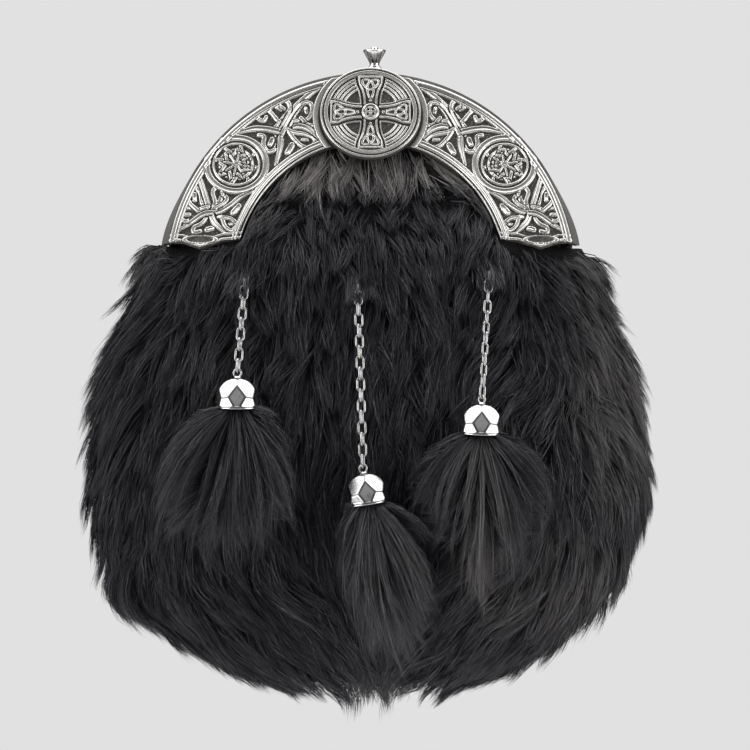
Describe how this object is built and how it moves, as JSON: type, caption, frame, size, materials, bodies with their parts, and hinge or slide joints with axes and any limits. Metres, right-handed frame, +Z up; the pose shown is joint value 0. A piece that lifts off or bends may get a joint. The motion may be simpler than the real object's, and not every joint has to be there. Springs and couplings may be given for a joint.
{
  "type": "full-dress fur sporran pouch",
  "caption": "Fur-covered pouch worn at the front of a kilt, with a cast metal crescent, a ringed-cross boss, chain-hung fur tassels and belt loops behind.",
  "frame": {"origin": "on the rear face of the back panel, midway between the two belt loops", "axes": "+X to the viewer's right when the front is looked at, +Y out of the back towards the wearer, +Z up"},
  "size_m": [0.1996, 0.0838, 0.2314],
  "materials": {
    "antique_silver": "cast relief, polished on its raised lines and darkened in its recesses",
    "bright_plate": "bright plating",
    "black_leather": "satin, fine grain",
    "black_fur": "soft long fur, near black with brown-grey lights"
  },
  "bodies": {
    "root": {"cantle": "antique_silver", "cross_roundel": "antique_silver", "finial": "bright_plate", "pouch_body": "black_leather", "back_panel": "black_leather", "mouth_flap": "black_leather", "belt_loop_left": "black_leather", "belt_loop_right": "black_leather", "fur_pelt": "black_fur", "chain_stud_left": "bright_plate", "chain_stud_middle": "bright_plate", "chain_stud_right": "bright_plate", "chain_left": "bright_plate", "chain_middle": "bright_plate", "chain_right": "bright_plate", "tassel_cap_left": "bright_plate", "tassel_cap_middle": "bright_plate", "tassel_cap_right": "bright_plate", "tassel_left": "black_fur", "tassel_middle": "black_fur", "tassel_right": "black_fur"}
  },
  "joints": []
}
